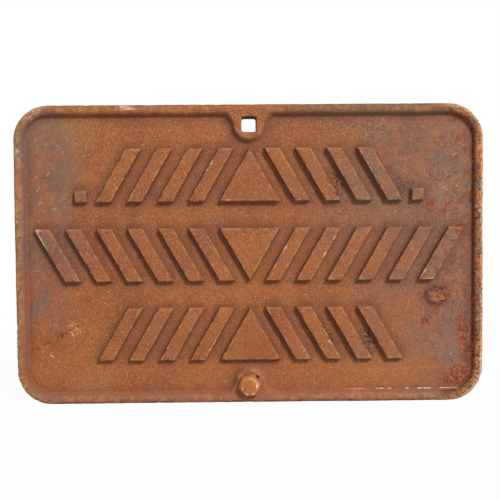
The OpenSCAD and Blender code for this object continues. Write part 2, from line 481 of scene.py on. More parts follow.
MIDDLE_CLOUDS = (
    (0.042, "rust_warm", 0.50, 0.51),
    (0.028, "red", 0.18, 0.53),
    (0.018, "lavender", 0.16, 0.55),
    (0.007, "orange", 0.14, 0.57),
)

TOP_RIGHT_CLOUDS = (
    (0.022, "plum", 0.40, 0.50),
    (0.016, "moss", 0.40, 0.52),
    (0.013, "ochre", 0.35, 0.54),
    (0.007, "umber", 0.30, 0.55),
    (0.006, "lavender", 0.45, 0.54),
)

LEFT_CLOUDS = (
    (0.034, "ochre", 0.45, 0.52),
    (0.024, "plum", 0.50, 0.52),
    (0.028, "slate", 0.55, 0.54),
    (0.009, "olive", 0.50, 0.53),
    (0.006, "ochre", 0.45, 0.55),
    (0.005, "plum", 0.40, 0.55),
)

RIGHT_CLOUDS = (
    (0.045, "plum", 0.50, 0.50),
    (0.030, "ochre", 0.45, 0.54),
    (0.024, "slate", 0.60, 0.54),
    (0.018, "umber", 0.65, 0.54),
    (0.014, "ochre", 0.50, 0.55),
    (0.011, "red", 0.75, 0.56),
    (0.010, "slate", 0.80, 0.54),
    (0.007, "umber", 0.70, 0.55),
    (0.006, "lavender", 0.60, 0.56),
    (0.005, "orange", 0.40, 0.59),
    (0.0045, "umber", 0.65, 0.57),
)

BACK_CLOUDS = (
    (0.070, "umber", 0.45, 0.49),
    (0.040, "ochre", 0.30, 0.52),
    (0.014, "red", 0.35, 0.54),
    (0.006, "umber", 0.40, 0.54),
)

SMALL_MARKS = (
    ("slate", 0.80, (-229, -51), (8, 23), -27, 0.4),
    ("orange", 0.95, (-222, -95.5), (14, 0.9), 28, 0.6),
    ("orange", 0.95, (-235.8, -103.3), (2.2, 2.0), 0, 0.4),
    ("orange", 0.90, (-225.3, -83.4), (2.8, 1.0), -45, 0.4),
    ("pale", 0.70, (-216.8, -109.6), (2.2, 0.9), -30, 0.4),
    ("orange", 0.90, (-188.2, -51.6), (1.8, 1.8), 0, 0.4),
    ("orange", 0.95, (-249.3, 83.5), (1.5, 2.2), 0, 0.4),
    ("orange", 0.95, (-247.4, 78.0), (1.5, 2.6), 20, 0.4),
    ("orange", 0.80, (-231.5, 111), (2.6, 0.9), 35, 0.5),
    ("orange", 0.85, (23.7, -140.7), (3.0, 2.6), 0, 0.5),
    ("orange", 0.80, (96, -147), (5.0, 1.8), 0, 0.5),
    ("orange", 0.75, (114, -151.5), (5.0, 2.0), 0, 0.5),
    ("plum", 0.50, (-1, -137), (18.0, 16.0), 0, 0.5),
    ("lavender", 0.60, (217, -104), (14, 18), 0, 0.7),
    ("slate", 0.70, (222, -112), (11, 8), 30, 0.6),
    ("slate", 0.60, (213, -80), (13, 8), -20, 0.7),
    ("plum", 0.55, (228, -62), (9, 13), 0, 0.6),
    ("slate", 0.55, (208, 104), (7, 12), 0, 0.8),
    ("plum", 0.55, (222, 92), (9, 8), 20, 0.7),
    ("soot_and_shade", 0.85, (242, 60), (3.4, 6.5), 0, 0.4),
    ("slate", 0.70, (249, 90), (3.0, 7.0), 0, 0.4),
    ("soot_and_shade", 0.70, (241, -108), (2.6, 9.0), 0, 0.5),
    ("orange", 0.75, (229, 119), (1.6, 1.9), 0, 0.6),
    ("orange", 0.70, (216, 117.2), (1.2, 1.4), 0, 0.6),
    ("orange", 0.60, (175.4, 123), (1.5, 1.4), 0, 0.6),
    ("gold", 0.75, (143, 140), (5.0, 0.7), 24, 0.5),
    ("gold", 0.70, (127.6, 129.4), (1.0, 2.6), 0, 0.5),
)

PALE_SCRATCHES = (
    ((191, 143), (2.4, 0.6), 20),
    ((187.5, 139), (3.4, 0.4), -50),
    ((204.8, 147.5), (1.8, 0.7), 40),
    ((223, 136), (1.6, 0.7), 60),
    ((223.8, 106.8), (1.8, 0.5), 45),
    ((214.4, 85.7), (3.2, 0.6), -60),
    ((212, 71), (2.6, 0.7), 50),
    ((215, 69), (2.2, 0.8), -40),
    ((226, 73), (2.0, 0.7), -60),
    ((-230, 85), (2.4, 0.4), 65),
    ((-229, 72), (3.6, 0.4), 62),
    ((-226, 57), (2.4, 1.0), 30),
    ((-229, 37), (2.0, 0.5), -60),
    ((242.6, 118.5), (0.7, 1.2), 0),
    ((250, -27), (1.0, 1.0), 0),
)

FRESH_RUST = (
    ((237, -98), (8.0, 28), 8),
    ((229, -136), (20, 10), 15),
    ((229, 26), (8.0, 6.5), 0),
    ((197, 53), (6.5, 5.0), 40),
    ((192, -75), (4.5, 3.8), 0),
    ((-214, -91), (28, 2.2), 28),
)

SOOTY_GAPS = (
    ((92, 75), (13, 15), 0),
    ((80, -91), (16, 18), 0),
    ((128, -93), (11, 16), 0),
    ((168, 76), (9, 12), 0),
)

# Turn in degrees and share of cells of the pale scratches that run each way.
SCRATCH_WAYS = ((62, 0.16), (-48, 0.12), (20, 0.08))

# Spots on the bolt's head, painted glints and bare worn metal: colour, strength, place from the bolt's
# axis, reach and turn.
HEAD_GLINTS_AND_WEAR = (
    ("gold", 0.80, (4.8, 6.0), (5.0, 1.5), -38),
    ("pale", 0.95, (7.9, 0.6), (1.3, 3.0), -5),
    ("pale", 0.95, (3.8, -8.4), (1.7, 1.1), 25),
    ("pale", 0.95, (-3.6, -8.6), (2.0, 1.0), -25),
    ("pale", 0.70, (-8.2, -2.4), (0.9, 1.3), 0),
)


def fresh_rust(coat, where):
    """Patches of fresh red rust with orange and black crumbs, and a pale crusty lump."""
    ragged = coat.g.warped(where, 0.006, 0.009)
    crumbs = coat.g.mottle(where, 0.0028, 4.0, 0.7)
    rust = coat.patches(ragged, FRESH_RUST)
    coat.lay("red", 0.90, rust)
    coat.lay("orange", 0.80, rust, (crumbs, 0.53, 0.59))
    coat.lay("soot_and_shade", 0.65, rust, (crumbs, 0.48, 0.42))
    lump = coat.patch(ragged, (-192, -81), (6.2, 7.4), 25)
    coat.lay("gold", 0.70, lump, (crumbs, 0.42, 0.54))
    coat.lay("pale", 0.80, lump, (crumbs, 0.54, 0.62))
    coat.lay("umber", 0.70, lump, (crumbs, 0.43, 0.34))


def blister(coat, where):
    """A burst rust blister: a ragged ring of dark lumps, with grey crust and fresh rust inside it."""
    g = coat.g
    middle = (204, -46.4)
    ragged = g.warped(where, 0.006, 0.011)
    crumbs = g.mottle(where, 0.0034, 4.0, 0.65)
    bits = g.mottle(g.vector("ADD", where, (0.4, 0.0, 0.3)), 0.0030, 4.0, 0.65)
    coat.lay("red", 0.75, coat.patch(ragged, middle, (18, 15), 0, 0.45))
    within = coat.patch(ragged, middle, (13.5, 11), 0, 0.25)
    coat.lay("plum", 0.75, within)
    coat.lay("slate", 0.85, coat.patch(ragged, (199, -45), (5.5, 5.8), 0, 0.4))
    coat.lay("orange", 0.85, coat.patch(ragged, (208, -46.5), (8.5, 8)), (bits, 0.46, 0.58))
    coat.lay("red", 0.80, within, (bits, 0.54, 0.44))
    core = coat.patch(ragged, middle, (9.4, 7.0), 0, 0.25)
    ring = g.math("SUBTRACT", within, core, clamp=True)
    coat.lay("soot_and_shade", 0.95, ring, (crumbs, 0.61, 0.52))
    coat.lay("soot_and_shade", 0.75, within, (crumbs, 0.45, 0.39))


def rust_skin(coat, where, wide, close, grain, aged, on_face):
    """The rust's fine grain and hues, its specks and pits, and pale scratches where it is aged."""
    g = coat.g
    hues = g.mottle(g.vector("ADD", where, (0.2, 0.0, 0.7)), 0.0017, 2.0, 0.6)
    coat.lay("lavender", g.ramp(aged, 0.0, 1.0, 0.28, 0.50), (hues, 0.54, 0.62))
    coat.lay("orange", g.ramp(aged, 0.0, 1.0, 0.22, 0.08), (hues, 0.46, 0.34))
    coarse = g.times(g.ramp(aged, 0.0, 1.0, 0.70, 0.42), g.ramp(on_face, 0.0, 1.0, 0.5, 1.0))
    coat.lay("grain_light", coarse, (grain, 0.53, 0.66))
    coat.lay("grain_dark", coarse, (grain, 0.47, 0.34))
    gold_specks = coat.mark("specks", close, Scale=330.0, Share=0.36, Size=0.30)
    coat.lay("gold", 0.60, gold_specks, g.math("SUBTRACT", 1.0, aged), on_face)
    coat.lay("orange", 0.70, coat.mark("specks", close, Scale=120.0, Share=0.10, Size=0.16))
    pits = coat.mark("specks", close, Scale=150.0, Share=0.30, Size=0.16)
    coat.lay("soot_and_shade", 0.75, pits, (coat.patch(wide, (210, 0), (160, 220)), 0.0, 0.8))
    for turn, share in SCRATCH_WAYS:
        way = math.radians(turn)
        strokes = coat.mark("short_scratches", close, Turn=way, Scale=270.0, Share=share)
        coat.lay("pale", 0.55, strokes, aged)


def casting_colour(coat, where, grain):
    """The casting's rust with its stains, as (its mottling, mask of the greyer right end)."""
    g = coat.g
    wide = g.warped(where, 0.035, 0.055)
    close = g.warped(where, 0.005, 0.006)
    medium = g.mottle(where, 0.016, 5.0, 0.65)
    side = g.axes(where)
    on_face = off_wall(g, side)
    coat.lay("rust_warm", 1.0, (g.mottle(where, 0.09, 4.0), 0.35, 0.65))
    coat.lay("rust_deep", 0.40, (medium, 0.52, 0.36))
    # The casting is made darker towards the top.
    coat.lay("rust_deep", 0.35, (side["Z"], -0.06, 0.12))
    coat.paint(wide, BROAD_STAINS)
    left = coat.patch(wide, (-222, 50), (34, 112))
    right = g.times(coat.patch(wide, (242, 0), (48, 190), 0, 0.4), on_face)
    top_right = coat.patch(wide, (165, 88), (58, 66), 0, 0.4)
    coat.cloud(where, on_face, MIDDLE_CLOUDS)
    coat.cloud(where, left, LEFT_CLOUDS)
    coat.cloud(where, top_right, TOP_RIGHT_CLOUDS)
    coat.cloud(where, right, RIGHT_CLOUDS)
    patchy = g.ramp(g.mottle(where, 0.0032, 4.0, 0.7), 0.36, 0.54, 0.35, 1.0)
    coat.paint(close, SMALL_MARKS, patchy)
    crumbled = g.mottle(where, 0.0014, 3.0, 0.7)
    coat.lay("pale", 0.60, coat.patches(close, PALE_SCRATCHES), (crumbled, 0.44, 0.54))
    fresh_rust(coat, where)
    blister(coat, where)
    orange_line = coat.patch(close, (158, -126.5), (46, 1.1), 1)
    coat.lay("orange", 0.90, orange_line, (g.mottle(where, 0.007, 3.0), 0.42, 0.54))
    east = coat.patch(wide, (195, 0), (75, 190), 0, 0.4)
    aged = g.math("MAXIMUM", g.math("MAXIMUM", left, right), g.math("MULTIPLY", east, 0.7))
    rust_skin(coat, where, wide, close, grain, g.times(aged, on_face), on_face)
    return medium, right


def rim_depth(g, sizes, place):
    """How far a place lies inside the plate's outline, in metres, up to the corners' radius."""
    straight = (sizes.sign_w / 2 - sizes.corner_r, 0, sizes.sign_h / 2 - sizes.corner_r)
    flat = g.vector("MULTIPLY", g.vector("ABSOLUTE", place), (1, 0, 1))
    beyond = g.vector("MAXIMUM", g.vector("SUBTRACT", flat, straight), (0, 0, 0))
    return g.math("SUBTRACT", sizes.corner_r, g.vector("LENGTH", beyond))


def eaten_rim(coat, where, depth, side):
    """The rough right rim: dark rust with painted shade on its inner side, flecked with gold and
    black, with a painted highlight and worn flecks along its outer edge and round its corner. Returns
    its bumps' height.
    """
    g = coat.g
    right = g.times(g.ramp(side["X"], 0.195, 0.225), off_wall(g, side))
    rim = g.times(right, g.ramp(depth, 0.0128, 0.0108))
    facing = g.times(right, g.ramp(depth, 0.0003, 0.0014, 0.30, 1.0))
    outer = g.times(facing, g.ramp(depth, 0.0052, 0.0026))
    hollow = g.times(rim, g.ramp(depth, 0.0075, 0.0100))
    corner = coat.patch(where, (246, -132), (20, 34), 0, 0.4)
    flecks = g.mottle(where, 0.0022, 4.0, 0.7)
    crust = g.mottle(where, 0.012, 5.0, 0.65)
    coat.lay("umber", 0.55, rim)
    coat.lay("orange", 0.45, rim, (crust, 0.50, 0.56))
    coat.lay("slate", 0.55, rim, (crust, 0.45, 0.39))
    # Painted highlight with worn flecks: gold and pale along the outer edge and round the corner.
    coat.lay("gold", 0.80, outer, (flecks, 0.41, 0.48))
    coat.lay("gold", 0.45, rim, (flecks, 0.55, 0.60))
    coat.lay("pale", 0.75, outer, (flecks, 0.54, 0.59))
    coat.lay("gold", 0.75, rim, facing, corner, (flecks, 0.46, 0.53))
    coat.lay("pale", 0.60, outer, corner, (flecks, 0.40, 0.47))
    # Painted shade with dark rust: black flecks on the rim's inner side and a dark hollow at its foot.
    inner = g.math("SUBTRACT", rim, g.math("MULTIPLY", outer, 0.6), clamp=True)
    coat.lay("soot_and_shade", 0.80, inner, (flecks, 0.46, 0.41))
    coat.lay("red", 0.30, hollow)
    coat.lay("soot_and_shade", 0.22, hollow)
    return g.times(flecks, rim, 0.9)


def other_rims(coat, where, depth, side):
    """The left rim, ochre with a painted highlight and gold flecks outside and mauve inside, the
    greyer top right and bottom, and painted shade on the underside.
    """
    g = coat.g
    rim = g.ramp(depth, 0.0135, 0.0115)
    left = g.times(g.ramp(side["X"], -0.205, -0.228), off_wall(g, side))
    flecks = g.mottle(where, 0.0021, 4.0, 0.7)
    drift = g.math("SUBTRACT", g.mottle(where, 0.007, 4.0, 0.65), 0.5)
    ragged = g.math("ADD", depth, g.math("MULTIPLY", drift, 0.016))
    outer = g.times(left, g.ramp(ragged, 0.0065, 0.0035))
    mauve = g.ramp(g.mottle(where, 0.014, 5.0, 0.65), 0.44, 0.56, 0.35, 1.0)
    coat.lay("lavender", 0.40, rim, left, (ragged, 0.0050, 0.0075), mauve)
    coat.lay("plum", 0.40, rim, left, (ragged, 0.0075, 0.0100))
    coat.lay("ochre", 0.55, outer)
    # Painted highlight with worn flecks: gold along the outermost edge, and gold and pale flecks.
    coat.lay("gold", 0.70, left, (ragged, 0.0026, 0.0010))
    coat.lay("gold", 0.80, outer, (flecks, 0.51, 0.56))
    coat.lay("pale", 0.80, outer, (flecks, 0.59, 0.63))
    coat.lay("orange", 0.65, outer, (flecks, 0.46, 0.41))
    coat.lay("pale", 0.75, coat.patch(where, (-233, 151), (9, 4), 32), (flecks, 0.52, 0.57))
    coat.lay("moss", 0.60, rim, (side["Z"], 0.140, 0.149), (side["X"], 0.0, 0.09))
    coat.lay("lavender", 0.28, rim, (side["Z"], -0.142, -0.150))
    # Painted shade: the plate's underside along the bottom edge is darkened.
    coat.lay("soot_and_shade", 0.60, (ragged, 0.0022, 0.0008), (side["Z"], -0.150, -0.158))


def sheltered_dirt_and_shade(coat, where, depth, side):
    """Grime with painted shade beside the raised blocks, dark rust with painted shade in the corners
    at their roots, and black crust in a few of the gaps.
    """
    g = coat.g
    grime_and_shade = attribute(g, "grime_and_shade")
    field = g.math("MAXIMUM", g.ramp(depth, 0.0110, 0.0150), g.ramp(side["Z"], 0.120, 0.140))
    dusty = g.ramp(g.mottle(where, 0.022, 4.0), 0.35, 0.60, 0.50, 1.0)
    above_lug = g.ramp(side["Z"], -0.125, -0.108, 0.35, 1.0)
    # Grime with painted shade, darkening the field beside the raised blocks.
    coat.lay("grime_and_shade", 0.36, grime_and_shade, field, dusty, above_lug)
    # Painted shade with dark rust in the corners at the blocks' roots.
    coat.lay("crevice", 0.45, attribute(g, "cavity"), field)
    crumbs = g.mottle(where, 0.0032, 4.0, 0.7)
    gaps = coat.patches(where, SOOTY_GAPS)
    coat.lay("soot_and_shade", 0.85, gaps, (grime_and_shade, 0.10, 0.45), (crumbs, 0.47, 0.60))


def worn_edges(coat, where, side):
    """Gold and pale wear along the edges, and pale scrapes on the bottom and top rims."""
    g = coat.g
    edge = attribute(g, "edge")
    coat.lay("gold", 0.34, coat.mark("edge_wear", where, Edge=edge, Scale=120.0))
    chips = coat.mark("edge_wear", where, Edge=edge, Scale=240.0)
    on_blocks = (g.math("ABSOLUTE", side["Z"]), 0.122, 0.116)
    coat.lay("pale", 0.50, chips, on_blocks, (g.mottle(where, 0.030, 3.0), 0.62, 0.70))
    coat.lay("pale", 0.90, chips, coat.patch(where, (-229, 13), (8, 14)))
    rim_chips = (g.mottle(where, 0.012, 4.0, 0.7), 0.48, 0.53)
    coat.lay("pale", 0.85, rim_chips, coat.patch(where, (170, -148.6), (56, 0.6)))
    streaks = g.mottle(g.vector("MULTIPLY", where, (0.35, 1.0, 1.8)), 0.004, 3.0)
    coat.lay("pale", 0.70, (streaks, 0.46, 0.56), coat.patch(where, (-134, 158), (12, 2.8)))


def hole_inside(g, side):
    """Mask of the walls of the two square fixing holes."""
    across = g.ramp(g.math("ABSOLUTE", side["X"]), 0.0087, 0.0082)
    off_hole = g.math("SUBTRACT", g.math("ABSOLUTE", side["Z"]), -BOLT_AXIS.z)
    upright = g.ramp(g.math("ABSOLUTE", off_hole), 0.0098, 0.0092)
    return g.times(across, upright, g.ramp(side["Y"], -0.0160, -0.0145))


def casting_material(colours, sizes):
    """Rusted sand-cast iron, plainer on its back, which is shifted away from the front's marks."""
    material, g, shader = new_material("rusted_casting")
    coat = Coat(g, colours, "rust")
    place = g.node("ShaderNodeTexCoord").outputs["Object"]
    side = g.axes(place)
    behind = g.math("GREATER_THAN", side["Y"], -0.002)
    shift = g.node("ShaderNodeCombineXYZ", {"X": g.math("MULTIPLY", behind, 3.0)})
    where = g.vector("ADD", place, shift.outputs["Vector"])
    grain = coat.mark("grain", where, Scale=1350.0)
    medium, right = casting_colour(coat, where, grain)
    coat.cloud(where, behind, BACK_CLOUDS)
    depth = g.math("ADD", rim_depth(g, sizes, place), behind)
    sheltered_dirt_and_shade(coat, where, depth, side)
    other_rims(coat, where, depth, side)
    rim_height = eaten_rim(coat, where, depth, side)
    worn_edges(coat, where, side)
    # Painted shade: the holes' walls are laid black.
    coat.lay("soot_and_shade", 0.75, hole_inside(g, side))
    rough = g.ramp(right, 0.0, 1.0, 0.85, 0.70)
    skin = g.math("ADD", g.math("MULTIPLY", grain, 0.28), g.math("MULTIPLY", medium, 0.8))
    height = g.math("ADD", skin, rim_height)
    join_surface(g, shader, coat.base, rough, shine=0.2, bump=(height, 1.0, 0.0011))
    return material


def head_marks(coat, where):
    """The bolt's head: gold on its dome, rubbed thin and a painted highlight, widest at the top;
    darker corners; and a few bright spots, painted glints and bare wear.
    """
    g = coat.g
    x = BOLT_AXIS.x * 1000
    z = BOLT_AXIS.z * 1000
    ragged = g.warped(where, 0.003, 0.0012)
    in_front = g.ramp(g.axes(where)["Y"], -0.0170, -0.0200)
    top = coat.patch(ragged, (x - 0.2, z - 0.5), (7.8, 7.6), 0, 0.06)
    dome = coat.patch(ragged, (x, z), (9.3, 9.3), 0, 0.06)
    rubbed = g.ramp(g.mottle(where, 0.004, 4.0, 0.6), 0.34, 0.58, 0.35, 1.0)
    coat.lay("rust_deep", 0.15, g.math("SUBTRACT", in_front, dome, clamp=True))
    coat.lay("orange", 0.30, top, in_front)
    # Painted highlight with rubbed rust: a gold ring on the dome, widest at the top.
    coat.lay("gold", 0.60, g.math("SUBTRACT", dome, top, clamp=True), in_front, rubbed)
    # Painted glints and bare worn spots.
    for tint, strength, (right, up), reach, turn in HEAD_GLINTS_AND_WEAR:
        spot = coat.patch(ragged, (x + right, z + up), reach, turn)
        coat.lay(tint, strength, spot, in_front, rubbed)


def hardware_material(name, tint, colours, worn_amount, marks=None):
    """Rusted steel, rubbed lighter on its edges, with painted shade in its hollows."""
    material, g, shader = new_material(name)
    coat = Coat(g, colours, tint)
    where = g.node("ShaderNodeTexCoord").outputs["Object"]
    grain = coat.mark("grain", where, Scale=1100.0)
    coat.lay("rust_deep", 0.6, (g.mottle(where, 0.007, 4.0, 0.6), 0.50, 0.66))
    if marks:
        marks(coat, where)
    coat.lay("grain_light", 0.45, (grain, 0.53, 0.70))
    coat.lay("grain_dark", 0.45, (grain, 0.47, 0.30))
    # Painted shade with dark rust in the hollows.
    coat.lay("crevice", 0.7, attribute(g, "cavity"))
    worn = coat.mark("edge_wear", where, Edge=attribute(g, "edge"), Scale=260.0)
    coat.lay("gold", worn_amount, worn)
    rough = g.ramp(worn, 0.0, 1.0, 0.75, 0.5)
    join_surface(g, shader, coat.base, rough, shine=0.35, bump=(grain, 0.8, 0.0004))
    return material


def new_bmesh_object(name, bm):
    """Turns a bmesh into an object of the scene."""
    mesh = bpy.data.meshes.new(name)
    bm.to_mesh(mesh)
    bm.free()
    obj = bpy.data.objects.new(name, mesh)
    bpy.context.scene.collection.objects.link(obj)
    return obj


def of_kind(geometry, kind):
    """The vertices, edges or faces among some geometry."""
    return [item for item in geometry if isinstance(item, kind)]


def spin_vertex(bm, vertex, centre, axis, turn, steps):
    """Draws an arc from a vertex and returns the arc's last vertex."""
    spun = bmesh.ops.spin(bm, geom=[vertex], cent=centre, axis=axis, angle=turn, steps=steps)
    return of_kind(spun["geom_last"], BMVert)[0]


def plate_solid(sizes):
    """The plate with its rim: the rim's section is drawn once and carried round the plate."""
    bm = bmesh.new()
    half_w = sizes.sign_w / 2
    half_h = sizes.sign_h / 2
    rim_r = sizes.rim_w / 2
    straight_x = half_w - sizes.corner_r
    straight_z = half_h - sizes.corner_r
    bead_y = -(sizes.plate_t + sizes.rim_rise - rim_r)
    hollow_y = -(sizes.plate_t + sizes.rim_fillet)
    rise = bead_y - hollow_y
    run = math.sqrt((rim_r + sizes.rim_fillet) ** 2 - rise**2)
    blend = math.atan2(rise, run)
    back = bm.verts.new((-straight_x, 0, half_h))
    wall = bm.verts.new((-straight_x, bead_y, half_h))
    bm.edges.new((back, wall))
    bead = (-straight_x, bead_y, half_h - rim_r)
    hollow = (-straight_x, hollow_y, half_h - rim_r - run)
    inner = spin_vertex(bm, wall, bead, (1, 0, 0), math.pi - blend, RIM_STEPS)
    spin_vertex(bm, inner, hollow, (-1, 0, 0), math.pi / 2 - blend, HOLLOW_STEPS)
    section = bm.edges[:]
    runs = (
        ((2 * straight_x, 0, 0), (straight_x, 0, straight_z)),
        ((0, 0, -2 * straight_z), (straight_x, 0, -straight_z)),
        ((-2 * straight_x, 0, 0), (-straight_x, 0, -straight_z)),
        ((0, 0, 2 * straight_z), (-straight_x, 0, straight_z)),
    )
    for step, corner in runs:
        swept = bmesh.ops.extrude_edge_only(bm, edges=section)["geom"]
        bmesh.ops.translate(bm, verts=of_kind(swept, BMVert), vec=step)
        moved = of_kind(swept, (BMVert, BMEdge))
        spun = bmesh.ops.spin(
            bm, geom=moved, cent=corner, axis=(0, 1, 0), angle=math.pi / 2, steps=CORNER_STEPS
        )
        section = of_kind(spun["geom_last"], BMEdge)
    bmesh.ops.remove_doubles(bm, verts=bm.verts, dist=WELD)
    bmesh.ops.holes_fill(bm, edges=[e for e in bm.edges if e.is_boundary], sides=0)
    bmesh.ops.recalc_face_normals(bm, faces=bm.faces)
    return bm


def raise_block(bm, face, sunk, rise, draft):
    """Turns a flat face on the field into a block with drafted sides and a root in the plate."""
    if face.normal.y > 0:
        bmesh.ops.reverse_faces(bm, faces=[face])
    bmesh.ops.translate(bm, verts=face.verts[:], vec=(0, sunk, 0))
    base = bmesh.ops.extrude_face_region(bm, geom=[face], use_keep_orig=True)["geom"]
    bmesh.ops.translate(bm, verts=of_kind(base, BMVert), vec=(0, -sunk, 0))
    top = of_kind(base, BMFace)[0]
    top.normal_update()
    bmesh.ops.inset_individual(
        bm, faces=[top], thickness=rise * math.tan(draft), depth=rise, use_even_offset=True
    )


def lug_rise(sizes):
    """Height of a lug's face above the field."""
    return sizes.rim_rise - sizes.lug_sink


def lug_face(bm, sizes, up):
    """A lug's outline on the field, flared out under the rim so that its face ends at the crest."""
    level = -sizes.plate_t
    hole_z = sizes.sign_h / 2 - sizes.hole_inset
    run = lug_rise(sizes) * math.tan(sizes.lug_draft)
    top = sizes.sign_h / 2 - sizes.rim_w / 2 + run
    rim_line = sizes.sign_h / 2 - sizes.rim_w / 2 - run
    flare_z = rim_line - sizes.lug_flare
    drop = flare_z - hole_z
    reach = math.sqrt((sizes.lug_r + sizes.lug_flare) ** 2 - drop**2)
    tilt = math.atan2(-drop, reach)
    first = bm.verts.new((-reach, level, top))
    side = bm.verts.new((-reach, level, rim_line))
    start = len(bm.verts)
    bm.edges.new((first, side))
    turn_in = math.pi / 2 - tilt
    end = spin_vertex(bm, side, (-reach, level, flare_z), (0, 1, 0), turn_in, FLARE_STEPS)
    end = spin_vertex(bm, end, (0, level, hole_z), (0, -1, 0), math.pi - 2 * tilt, LUG_STEPS)
    end = spin_vertex(bm, end, (reach, level, flare_z), (0, 1, 0), turn_in, FLARE_STEPS)
    last = bm.verts.new((reach, level, top))
    bm.edges.new((end, last))
    bm.verts.ensure_lookup_table()
    outline = [first, side] + bm.verts[start:]
    if up < 0:
        bmesh.ops.scale(bm, verts=outline, vec=(1, 1, -1))
    face = bm.faces.new(outline)
    face.normal_update()
    return face


def corner_face(bm, corners, level):
    """A flat face on the field from a few corners."""
    face = bm.faces.new([bm.verts.new((x, level, z)) for x, z in corners])
    face.normal_update()
    return face


def row_corners(sizes, row_h, bars, studs):
    """Corners of each block of a row, about the row's middle: a triangle, bars and square blocks."""
    half = row_h / 2
    bar_w = sizes.bar_t / math.cos(sizes.bar_lean)
    pitch = (sizes.bar_t + sizes.bar_gap) / math.cos(sizes.bar_lean)
    shift = row_h * math.tan(sizes.bar_lean)
    first = shift + pitch - bar_w
    blocks = [[(-shift, -half), (shift, -half), (0, half)]]
    for side in (-1, 1):
        for i in range(bars):
            x = first + i * pitch
            corners = ((x, -half), (x + bar_w, -half), (x + bar_w - shift, half), (x - shift, half))
            blocks.append([(side * u, v) for u, v in corners])
        if studs:
            x = first + (bars - 1) * pitch + bar_w + sizes.stud_gap
            s = sizes.stud_side
            corners = ((x, -half), (x + s, -half), (x + s, s - half), (x, s - half))
            blocks.append([(side * u, v) for u, v in corners])
    return blocks


def raised_solids(sizes):
    """The two lugs and all the raised blocks, as separate closed solids rooted in the plate."""
    bm = bmesh.new()
    for up in (1, -1):
        raise_block(bm, lug_face(bm, sizes, up), ROOT_DEPTH, lug_rise(sizes), sizes.lug_draft)
    rows_half = sizes.sign_h / 2 - sizes.hole_inset - sizes.lug_r - sizes.lug_row_gap
    row_h = (2 * rows_half - 2 * sizes.row_gap) / 3
    row_pitch = row_h + sizes.row_gap
    rows = (
        (row_pitch, 1, sizes.outer_bars, True),
        (0, -1, sizes.middle_bars, False),
        (-row_pitch, 1, sizes.outer_bars, False),
    )
    for row_z, up, bars, studs in rows:
        for corners in row_corners(sizes, row_h, bars, studs):
            face = corner_face(bm, [(x, row_z + up * z) for x, z in corners], -sizes.plate_t)
            raise_block(bm, face, ROOT_DEPTH, sizes.block_rise, sizes.block_draft)
    bmesh.ops.recalc_face_normals(bm, faces=bm.faces)
    return bm


def hole_cutters(sizes):
    """Square bars that cut the two fixing holes, with the upper one's right and top walls leaning."""
    bm = bmesh.new()
    through = 0.1
    bar = Matrix.Diagonal((sizes.hole_side, through, sizes.hole_side, 1))
    hole_z = sizes.sign_h / 2 - sizes.hole_inset
    front = -(sizes.plate_t + lug_rise(sizes))
    for z, lean in ((hole_z, sizes.hole_lean), (-hole_z, 0)):
        place = Matrix.Translation((0, 0, z)) @ bar
        for vert in bmesh.ops.create_cube(bm, size=1, matrix=place)["verts"]:
            inward = lean * (1 - vert.co.y / front)
            if vert.co.x > 0:
                vert.co.x -= inward
            if vert.co.z > z:
                vert.co.z -= inward
    return bm


def on_bolt_axis(bm):
    """Moves what was made along +Z onto the bolt's axis, with +Z to the back."""
    turn = Matrix.Rotation(-math.pi / 2, 4, "X")
    place = Matrix.Translation((BOLT_AXIS.x, 0, BOLT_AXIS.z))
    bmesh.ops.transform(bm, matrix=place @ turn, verts=bm.verts)
    bmesh.ops.recalc_face_normals(bm, faces=bm.faces)
    return bm


def cone_solid(start, end, start_r, end_r, sides=ROUND_SIDES, turn=0.0):
    """A closed round or many-sided solid along the bolt's axis."""
    bm = bmesh.new()
    place = Matrix.Translation((0, 0, (start + end) / 2)) @ Matrix.Rotation(turn, 4, "Z")
    shape = {"segments": sides, "radius1": start_r, "radius2": end_r, "depth": end - start}
    bmesh.ops.create_cone(bm, cap_ends=True, matrix=place, **shape)
    return on_bolt_axis(bm)


def hexagon_solid(sizes, start, end, turn):
    """A hexagonal solid along the bolt's axis, with a corner to the right before it is turned."""
    corner_r = sizes.hex_af / 2 / math.cos(math.pi / 6)
    return cone_solid(start, end, corner_r, corner_r, sides=6, turn=math.pi / 2 - turn)


def turned_solid(section):
    """A solid turned about the bolt's axis from half of its section, as (radius, place) pairs."""
    bm = bmesh.new()
    verts = [bm.verts.new((radius, 0, place)) for radius, place in section]
    edges = [bm.edges.new(pair) for pair in zip(verts, verts[1:])]
    turn = {"cent": (0, 0, 0), "axis": (0, 0, 1), "angle": 2 * math.pi, "steps": TURNED_STEPS}
    bmesh.ops.spin(bm, geom=verts + edges, use_merge=True, **turn)
    bmesh.ops.remove_doubles(bm, verts=bm.verts, dist=WELD)
    return on_bolt_axis(bm)


def chamfer_radius(sizes, depth):
    """Radius of the hexagons' chamfer at a depth behind its circle."""
    return sizes.hex_face_d / 2 + depth / math.tan(math.pi / 6)


